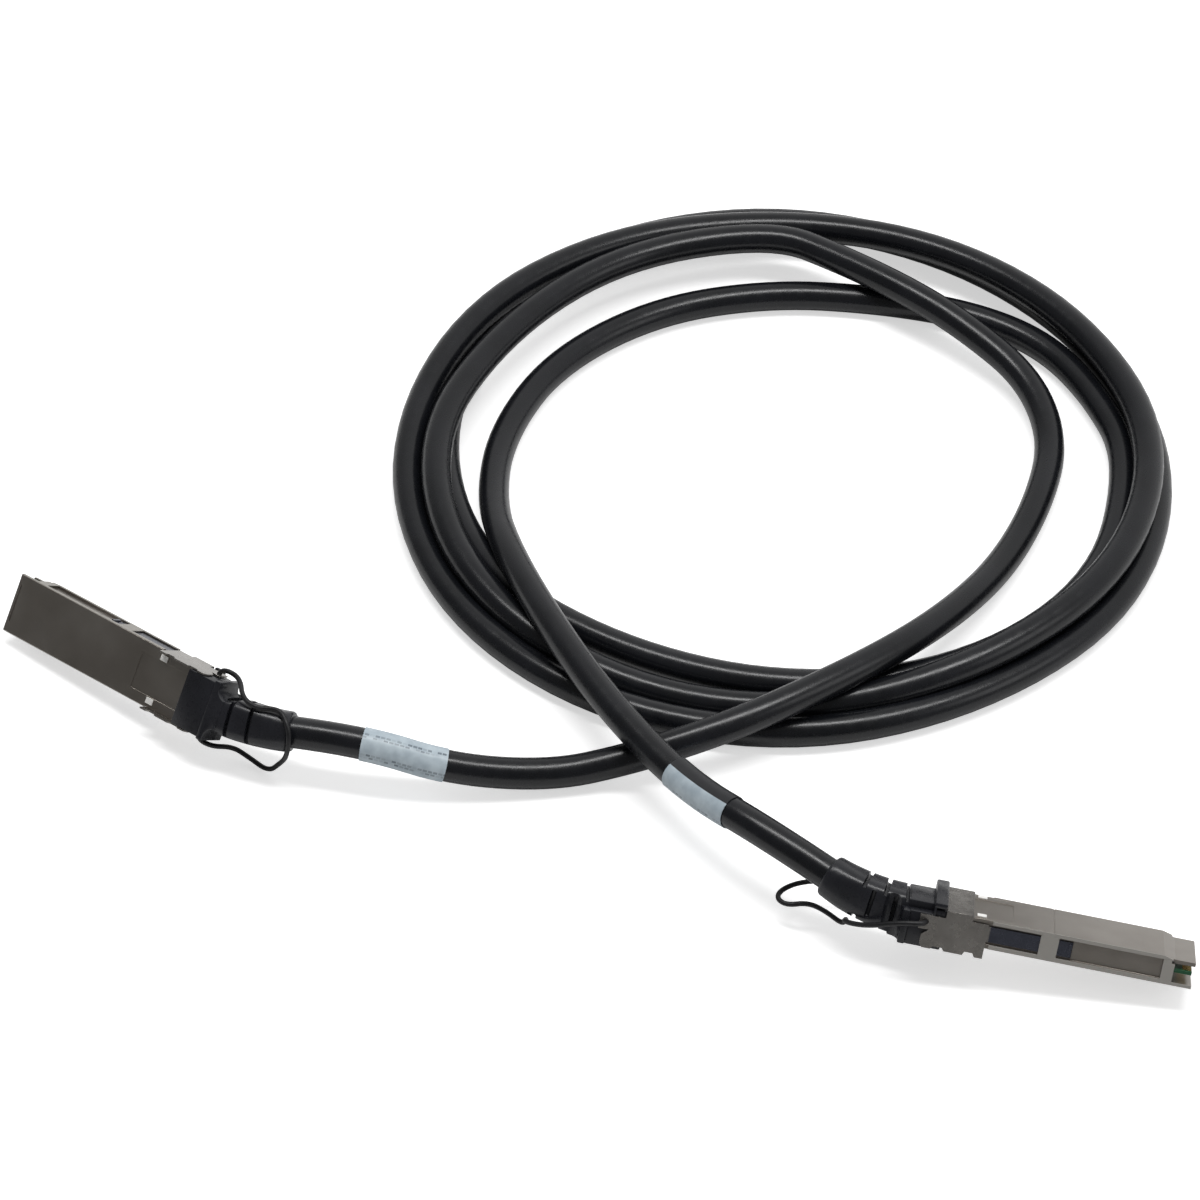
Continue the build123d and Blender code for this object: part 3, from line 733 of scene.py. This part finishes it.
def sleeve(start, stop, first, radius):
    """A thin open tube round the cable; each ring starts where the print starts."""
    bm = bmesh.new()
    gone = 0.0
    picked = []
    for before, here in zip(line, line[1:]):
        step = (here - before).length
        if start <= gone + step / 2 <= stop:
            picked.append(((before + here) / 2, (here - before).normalized(), gone + step / 2))
        gone += step
    rings = []
    for centre, ahead, run in picked:
        across = ahead.cross(Vector((0, 0, 1))).normalized()
        up = across.cross(ahead)
        made = bmesh.ops.create_circle(bm, cap_ends=False, radius=radius,
                                       segments=SLEEVE_SIDES)
        matrix = Matrix((across, up, ahead)).transposed().to_4x4()
        matrix = matrix @ Matrix.Rotation(radians(first), 4, "Z")
        matrix.translation = centre
        bmesh.ops.transform(bm, matrix=matrix, verts=made["verts"])
        rings.append(made["verts"])
    for near, far in zip(rings, rings[1:]):
        edges = {e for v in near + far for e in v.link_edges if e.is_boundary or e.is_wire}
        bmesh.ops.bridge_loops(bm, edges=list(edges))
    return bm, rings, picked


# %% [markdown]
# ## Floor and light
# The photograph was taken in a small studio: one long narrow lamp overhead draws a thin
# line of light on each strand, a bright wall stands behind and the room in front is dim.
# The camera sees a nearly white backdrop because floor and world glow a little to it.

# %% Floor
FLOOR_GLOW = 0.58
MIRRORED_GLOW = 0.05


def seen_rays(tree):
    """The light path node, and one for rays that the camera sees."""
    path = add_node(tree, "LightPath")
    seen = calculated(tree, "MAXIMUM", path.outputs["Is Camera Ray"],
                      path.outputs["Is Transmission Ray"])
    return path, seen


floor_bm = bmesh.new()
bmesh.ops.create_grid(floor_bm, x_segments=1, y_segments=1, size=4.0)
floor_mesh = bpy.data.meshes.new("floor")
floor_bm.to_mesh(floor_mesh)
floor_bm.free()
floor = bpy.data.objects.new("floor", floor_mesh)
floor.location = (0, 0, -0.0002)
bpy.context.scene.collection.objects.link(floor)
floor_material, tree, bsdf = new_material("floor_paper")
bsdf.inputs["Base Color"].default_value = opaque(0.84, 0.84, 0.84)
bsdf.inputs["Roughness"].default_value = 0.9
bsdf.inputs["Emission Color"].default_value = opaque(1.0, 1.0, 1.0)
path, seen = seen_rays(tree)
mirrored = calculated(tree, "MULTIPLY", path.outputs["Is Glossy Ray"], MIRRORED_GLOW)
glow = calculated(tree, "MULTIPLY_ADD", seen, FLOOR_GLOW, mirrored)
tree.links.new(glow, bsdf.inputs["Emission Strength"])
floor_mesh.materials.append(floor_material)
print("floor glows", FLOOR_GLOW, "to the camera")

# %% World and lamps
BRIGHT_SIDE = (0.5, 0.7, 0.0)
DIM, BRIGHT = 0.14, 0.85
world = bpy.data.worlds.new("studio")
bpy.context.scene.world = world
world.use_nodes = True
tree = world.node_tree
background = tree.nodes["Background"]
background.inputs["Color"].default_value = opaque(1.0, 1.0, 1.0)
_, seen = seen_rays(tree)
where = add_node(tree, "TexCoord").outputs["Generated"]
toward = add_node(tree, "VectorMath", [(0, where), (1, BRIGHT_SIDE)], operation="DOT_PRODUCT")
wall = add_node(tree, "MapRange", [
    ("Value", toward.outputs["Value"]), ("From Min", -0.3), ("From Max", 0.8),
    ("To Min", DIM), ("To Max", BRIGHT)])
level = add_node(tree, "MapRange", [
    ("Value", seen), ("To Min", wall.outputs["Result"]), ("To Max", 1.0)])
tree.links.new(level.outputs["Result"], background.inputs["Strength"])


def lamp(name, location, target, size, power):
    """A rectangular area lamp that faces its target."""
    data = bpy.data.lights.new(name, "AREA")
    data.shape = "RECTANGLE"
    data.size, data.size_y = size
    data.energy = power
    light = bpy.data.objects.new(name, data)
    light.location = location
    aim = Vector(target) - Vector(location)
    light.rotation_euler = aim.to_track_quat("-Z", "Y").to_euler()
    bpy.context.scene.collection.objects.link(light)


lamp("overhead", (0.05, 0.15, 1.3), (0.03, 0.08, 0), (1.2, 0.25), 11.3)
lamp("right_fill", (1.2, -0.5, 0.8), (0.0, 0.0, 0), (0.6, 0.6), 1.5)
bpy.context.scene.view_settings.view_transform = "Standard"

# %% [markdown]
# ## Sleeve finish and the cable's place
# Each sleeve is a wrapped film: a pale printed part, then a clear tail that shows the
# jacket. Its print is two faint rows of grey dashes. Last, the cable rides with the
# modules and the CAD's cable pieces are hidden.

# %% Sleeves on the cable
AROUND = pi * CABLE_D  # length once round the jacket
PRINT_H = 240 / 360 * AROUND  # the printed part of the film, measured round the cable
PRINT_ROWS = ((5.8, 8.2), (12.2, 14.2))
INK = 0.85
SLEEVE_GAP = 0.28
SLEEVE_WALL = 0.2
# Start and stop along the cable in metres, and the turn of the print's first edge
SLEEVES = {
    "a": (0.0190, 0.0465, -170.0),
    "b": (CABLE_LENGTH - 0.0630, CABLE_LENGTH - 0.0310, 98.0),
}


def sleeve_film():
    """Pale film with rows of soft grey dashes that stand for fine print."""
    material = coated("sleeve_film", (0.40, 0.475, 0.53), (0.52, 0.60, 0.65),
                      0.30, 0.45, 300.0, 500.0, 0.08)
    tree = material.node_tree
    bsdf = tree.nodes["Principled BSDF"]
    paper = bsdf.inputs["Base Color"].links[0].from_socket
    uv = add_node(tree, "UVMap", uv_map="print")
    dashes = add_node(tree, "TexBrick", [
        ("Vector", uv.outputs["UV"]), ("Scale", 1.0), ("Brick Width", 1.5),
        ("Row Height", 1.0), ("Mortar Size", 0.16), ("Color1", opaque(0, 0, 0)),
        ("Color2", opaque(1, 1, 1)), ("Mortar", opaque(0, 0, 0)),
    ], offset=0.37)
    split = add_node(tree, "SeparateXYZ", [(0, uv.outputs["UV"])])
    rows = [add_zone(tree, split.outputs["Y"], low, high, 0.3) for low, high in PRINT_ROWS]
    ink = calculated(tree, "MULTIPLY", calculated(tree, "MAXIMUM", *rows), dashes.outputs["Color"])
    soft_ink = calculated(tree, "MULTIPLY", ink, INK)
    printed = add_node(tree, "Mix", [
        (0, soft_ink), (6, paper), (7, opaque(0.10, 0.13, 0.16))], data_type="RGBA")
    tree.links.new(printed.outputs[2], bsdf.inputs["Base Color"])
    repaint(material, "Y", PRINT_H, BEYOND, (0.0075, 0.0080, 0.0105), soft=0.1,
            attribute="print")
    return material


film = sleeve_film()
for end, (start, stop, first) in SLEEVES.items():
    bm, rings, picked = sleeve(start, stop, first, (CABLE_D / 2 + SLEEVE_GAP) * MM)
    layer = bm.loops.layers.uv.new("print")
    where = {}
    for ring, (_, _, run) in zip(rings, picked):
        for step, vertex in enumerate(ring):
            where[vertex] = (run / MM, step)
    for face in bm.faces:
        steps = [where[loop.vert][1] for loop in face.loops]
        for loop in face.loops:
            run, step = where[loop.vert]
            if max(steps) - min(steps) > SLEEVE_SIDES / 2 > step:
                step += SLEEVE_SIDES
            loop[layer].uv = (run, step / SLEEVE_SIDES * AROUND)
    bmesh.ops.recalc_face_normals(bm, faces=bm.faces[:])
    bmesh.ops.solidify(bm, geom=bm.faces[:], thickness=SLEEVE_WALL * MM)
    piece = finish_piece(bm, "sleeve_" + end, film, "cable_and_modules", ["label_" + end],
                         smooth=35.0)
    print(piece.name, len(piece.data.polygons), "faces")

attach(cable, "cable_and_modules")
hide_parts("cable_lead_a", "cable_lead_b", "cable_coil")
